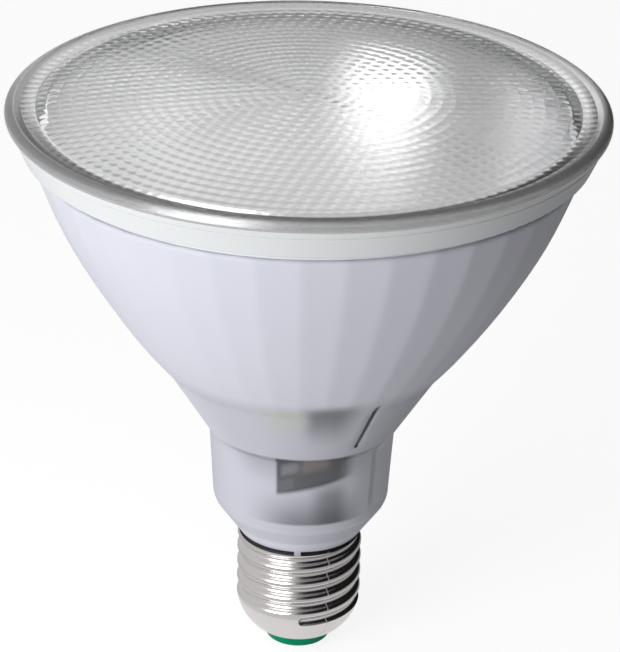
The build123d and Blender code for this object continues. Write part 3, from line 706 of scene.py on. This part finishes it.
# %% Dress the box in the neck
BOX_GLOW = 0.5
BOX_FIELDS = [
    ("brown field", (0.2, 0.165, 0.145), edges((1, 4), (30, 6), (46.4, 1.2), (50.2, 0.8), 0.9)),
    ("pale field", (0.24, 0.24, 0.245), edges((-15, 2), (-2, 4), (46.9, 0.8), (49.3, 0.8), 0.9)),
    ("grey field", (0.11, 0.11, 0.105), edges((-17, 1.5), (-6, 3), (43.2, 0.8), (45.8, 0.6), 0.9)),
]

finish, tree, skin = coat("box_resin", moulded, (0.035, 0.035, 0.033), (0.055, 0.055, 0.05),
                          gloss=0.4, **INNER_SCALES)
_, angle, height = wall_place(tree)
paint(tree, skin, angle, height, BOX_FIELDS)
face = skin.inputs["Base Color"].links[0].from_socket
tree.links.new(face, skin.inputs["Emission Color"])
skin.inputs["Emission Strength"].default_value = BOX_GLOW
dress(finish, "film_capacitor")

# %% [markdown]
# ## The lens
# The lens is a pressed disc, slightly domed, whose face is covered with small pillows in rings.
# Ring number k has six times k of them, so they line up along six lines from the centre. A bump
# would not bend the outline of the glass, so the pillows are a real mesh. The radius and the
# heights come from the CAD lens, which this mesh replaces.

# %% Lens sizes
RING_PITCH = 2.545
RING_COUNT = 22
MORE_PER_RING = 6
VALLEY = 0.05
PILLOW = 0.115
LENS_RISE = 2.85
LENS_THICK = 2.3
LINE_TURN = radians(-49.6)

lens_low, lens_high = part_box("lens")
lens_r = lens_high.x * METRE
seat_z = lens_low.z * METRE
apex_z = lens_high.z * METRE
field_z = apex_z - LENS_RISE
field_r = RING_PITCH * (RING_COUNT + 0.5)
print("pillows:", 1 + sum(MORE_PER_RING * ring for ring in range(1, RING_COUNT + 1)))

# %% [markdown]
# The pillows could be modelled one by one and copied round the axis. A formula is shorter and
# leaves no gaps: the height is highest in the middle of a pillow and lowest in the valleys, and
# all of it rides on a shallow dome.


# %% The height of the patterned face
def dome_z(r, top, edge_r, edge_z):
    """Height of a shallow round dome at a radius."""
    drop = top - edge_z
    ball = (edge_r**2 + drop**2) / (2 * drop)
    return top - ball + sqrt(ball**2 - r**2)


def pillow_z(r, turn, ring):
    """Height of the patterned face: the dome less the valleys between the pillows."""
    across = min(1.0, abs(r - ring * RING_PITCH) / (RING_PITCH / 2 - VALLEY))
    place = (turn - LINE_TURN) / (2 * pi) * MORE_PER_RING * ring
    along = 2 * abs(place - round(place))
    lifted = (1 - across**2) * (1 - along**2)
    return dome_z(r, apex_z, field_r, field_z) - PILLOW * (1 - lifted)


# %% [markdown]
# Each ring of pillows starts as a circle of edges that is extruded outwards in a few steps. A
# spin would make the same grid, but it slows down as the mesh grows.


# %% Grow a ring from a circle
INSIDE_RIM = 0.9


def start_circle(bm, r, z, segments, filled=False):
    """A circle of edges round the axis, or a fan of triangles; returns the edges of its rim."""
    made = bmesh.ops.create_circle(bm, cap_ends=filled, cap_tris=filled, radius=mm(r),
                                   segments=segments, matrix=Matrix.Translation((0, 0, mm(z))))
    return [e for e in {e for v in made["verts"] for e in v.link_edges}
            if all(hypot(v.co.x, v.co.y) > mm(r) * INSIDE_RIM for v in e.verts)]


def grow(bm, loop, points):
    """Extrudes a loop of edges through (radius, height) points and returns the last loop."""
    for r, z in points:
        made = bmesh.ops.extrude_edge_only(bm, edges=loop)["geom"]
        loop = [g for g in made if isinstance(g, bmesh.types.BMEdge)]
        verts = [g for g in made if isinstance(g, bmesh.types.BMVert)]
        now = hypot(verts[0].co.x, verts[0].co.y)
        bmesh.ops.scale(bm, vec=(mm(r) / now, mm(r) / now, 1), verts=verts)
        bmesh.ops.translate(bm, vec=(0, 0, mm(z) - verts[0].co.z), verts=verts)
    return loop


# %% [markdown]
# The rings are lifted into pillows one by one and bridged to the ring inside. The pillow in the
# middle starts as a fan, whose faces point down. They are turned first: a bridge between loops
# that run opposite ways would cross over the middle.

# %% Make the rings of pillows
AROUND = 6
ACROSS = 4

lens_mesh = bmesh.new()
outer_loop = None
for ring in range(RING_COUNT + 1):
    outer = (ring + 0.5) * RING_PITCH - VALLEY
    inner = (ring - 0.5) * RING_PITCH + VALLEY if ring else outer / ACROSS
    steps = ACROSS if ring else ACROSS - 1
    segments = MORE_PER_RING * max(ring, 1) * AROUND
    count = len(lens_mesh.verts)
    inner_loop = start_circle(lens_mesh, inner, 0, segments, filled=ring == 0)
    radii = [inner + (outer - inner) * i / steps for i in range(1, steps + 1)]
    next_loop = grow(lens_mesh, inner_loop, [(r, 0) for r in radii])
    lens_mesh.verts.ensure_lookup_table()
    for v in lens_mesh.verts[count:]:
        turn = atan2(v.co.y, v.co.x)
        v.co.z = mm(pillow_z(hypot(v.co.x, v.co.y) * METRE, turn, ring))
    if outer_loop:
        bmesh.ops.bridge_loops(lens_mesh, edges=outer_loop + inner_loop)
    else:
        bmesh.ops.reverse_faces(lens_mesh, faces=lens_mesh.faces)
    outer_loop = next_loop
print("faces in the rings of pillows:", len(lens_mesh.faces))

# %% [markdown]
# Outside the rings come a smooth band, a small step and the round bead of the rim. Below, the
# lens has a flat seat and a smooth hollow. A lathe would turn such a section, and so could a
# spin, but the section has to meet the rings. So one loop is extruded all the way round it. The
# bead is two arcs, each given by three points.


# %% Draw the section of the rim
def arc(start, through, stop, steps):
    """Points on the circle through three (radius, height) points, without the first."""
    (ax, ay), (bx, by), (cx, cy) = start, through, stop
    d = 2 * (ax * (by - cy) + bx * (cy - ay) + cx * (ay - by))
    a2, b2, c2 = ax**2 + ay**2, bx**2 + by**2, cx**2 + cy**2
    mx = (a2 * (by - cy) + b2 * (cy - ay) + c2 * (ay - by)) / d
    my = (a2 * (cx - bx) + b2 * (ax - cx) + c2 * (bx - ax)) / d
    first, last = atan2(ay - my, ax - mx), atan2(cy - my, cx - mx)
    if last > first:
        last -= 2 * pi
    size = hypot(ax - mx, ay - my)
    turns = [first + (last - first) * i / steps for i in range(1, steps + 1)]
    return [(mx + size * cos(t), my + size * sin(t)) for t in turns]


STEP_OUT = 0.2
BAND_IN = 2.4
BEAD_IN = 2.2
BEAD_HEIGHT = 2.3
CROWN_IN, CROWN_DROP = 1.2, 0.12
SHOULDER_IN, SHOULDER_HEIGHT = 0.55, 1.8
WIDEST_HEIGHT = 1.05
TOE_IN = 0.4
CROWN_STEPS, FLANK_STEPS = 6, 8

rim_start = field_r + VALLEY
bead_top = seat_z + BEAD_HEIGHT
bead_start = (lens_r - BEAD_IN, bead_top)
crown = (lens_r - CROWN_IN, bead_top - CROWN_DROP)
shoulder = (lens_r - SHOULDER_IN, seat_z + SHOULDER_HEIGHT)
widest = (lens_r, seat_z + WIDEST_HEIGHT)
print("bead from", round(bead_start[0], 2), "to", round(lens_r, 2), "mm out")

# %% [markdown]
# The seat stays a hair above the ring that carries it: two faces in exactly the same place would
# let rays slip into the ring and come back black. The hollow below is a dome of its own, a few
# steps of the same loop, which ends in one point on the axis.

# %% Grow the rim and the underside
SEAT_GAP = 0.04
UNDER_R = 54.25
UNDER_LIFT = 0.77
UNDER_STEPS = 6
RIM_SEGMENTS = 264

low_z = seat_z + SEAT_GAP
under_z = seat_z + UNDER_LIFT
under_top = apex_z - LENS_THICK
section = [(rim_start + STEP_OUT, field_z), (lens_r - BAND_IN, field_z), bead_start]
section += arc(bead_start, crown, shoulder, CROWN_STEPS)
section += arc(shoulder, widest, (lens_r - TOE_IN, low_z), FLANK_STEPS)
section += [(UNDER_R, low_z), (UNDER_R, under_z)]
for i in range(1, UNDER_STEPS):
    r = UNDER_R * (1 - i / UNDER_STEPS)
    section.append((r, dome_z(r, under_top, UNDER_R, under_z)))
rim_loop = start_circle(lens_mesh, rim_start, field_z - PILLOW, RIM_SEGMENTS)
last_loop = grow(lens_mesh, rim_loop, section)
pole = bmesh.ops.extrude_edge_only(lens_mesh, edges=last_loop)["geom"]
pole = [g for g in pole if isinstance(g, bmesh.types.BMVert)]
bmesh.ops.pointmerge(lens_mesh, verts=pole, merge_co=(0, 0, mm(under_top)))
bmesh.ops.bridge_loops(lens_mesh, edges=outer_loop + rim_loop)
bmesh.ops.recalc_face_normals(lens_mesh, faces=lens_mesh.faces)
open_edges = sum(1 for e in lens_mesh.edges if not e.is_manifold)
print("lens faces:", len(lens_mesh.faces), "open edges:", open_edges)

# %% [markdown]
# The lens has three finishes, so its faces are sorted by place: the patterned face and the hollow
# are clear, the band and the bead are fire-polished, and the seat is silvered from below. All
# faces are smooth, with sharp edges only at the corners of the section.

# %% Sort the faces of the lens
CLEAR, POLISHED, SILVERED = range(3)
SEAT_MARGIN = 0.05
SHARP = radians(50)

for face in lens_mesh.faces:
    face.smooth = True
    middle = face.calc_center_median()
    reach = hypot(middle.x, middle.y)
    face.material_index = POLISHED if reach > mm(rim_start) else CLEAR
    if reach > mm(UNDER_R - SEAT_MARGIN) and middle.z < mm(under_z):
        face.material_index = SILVERED
for edge in lens_mesh.edges:
    if edge.is_manifold and edge.calc_face_angle() > SHARP:
        edge.smooth = False
lens_data = bpy.data.meshes.new("patterned_lens")
lens_mesh.to_mesh(lens_data)
lens_mesh.free()
lens = bpy.data.objects.new("patterned_lens", lens_data)
scene.collection.objects.link(lens)
print("seat faces:", sum(1 for p in lens_data.polygons if p.material_index == SILVERED))

# %% [markdown]
# The glass is clear and colourless. Real glass bends light so much that the steep flanks of the
# pillows turn black from this side, so it bends light a little less here. The bead is a little
# cloudy, with a pale painted highlight at its left and painted shade along its lower edge. The
# seat mirrors like the reflector, because the bead would otherwise show the dark gap below it.

# %% Finish the lens
GLASS_BEND = 1.4
BEAD_CLEAR = 0.75
# painted highlight at the left of the bead, and painted shade along its lower edge
BEAD_HIGHLIGHT_AND_SHADE = [
    ("painted highlight on the bead", (0.88, 0.89, 0.9),
     edges((-75, 15), (-8, 14), (seat_z + 0.9, 0.4), (seat_z + 2.6, 0.4), 0.7)),
    ("painted shade on the bead's lower edge", (0.08, 0.08, 0.08),
     edges((-55, 25), (70, 25), (seat_z - 1, 0.1), (seat_z + 0.6, 0.4), 0.7)),
]

glass, _, skin = coat("pressed_glass", moulded, (0.985, 0.99, 0.99), (1.0, 1.0, 1.0),
                      cloud_scale=30.0, gloss=0.02, spread=0.03, grain_scale=500.0)
skin.inputs["Transmission Weight"].default_value = 1.0
skin.inputs["IOR"].default_value = GLASS_BEND
bead, tree, skin = coat("fire_polished_rim", moulded, (0.9, 0.9, 0.9), (0.97, 0.97, 0.97),
                        cloud_scale=180.0, gloss=0.06, spread=0.1, grain_scale=500.0)
_, angle, height = wall_place(tree)
paint(tree, skin, angle, height, BEAD_HIGHLIGHT_AND_SHADE)
skin.inputs["Transmission Weight"].default_value = BEAD_CLEAR
skin.inputs["IOR"].default_value = GLASS_BEND
silver, _, _ = coat("silvered_seat", drawn, (0.95, 0.95, 0.955), (0.91, 0.91, 0.92),
                    cloud_scale=40.0, gloss=0.2, spread=0.08, grain_scale=60.0,
                    metallic=1.0)
for finish in (glass, bead, silver):
    lens_data.materials.append(finish)
print("finishes of the lens:", ", ".join(m.name for m in lens_data.materials))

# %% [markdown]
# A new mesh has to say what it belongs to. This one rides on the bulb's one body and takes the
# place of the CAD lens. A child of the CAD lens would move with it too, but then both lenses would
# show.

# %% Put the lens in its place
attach(lens, "root")
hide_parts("lens")
print(lens.name, "has", len(lens_data.polygons), "faces")
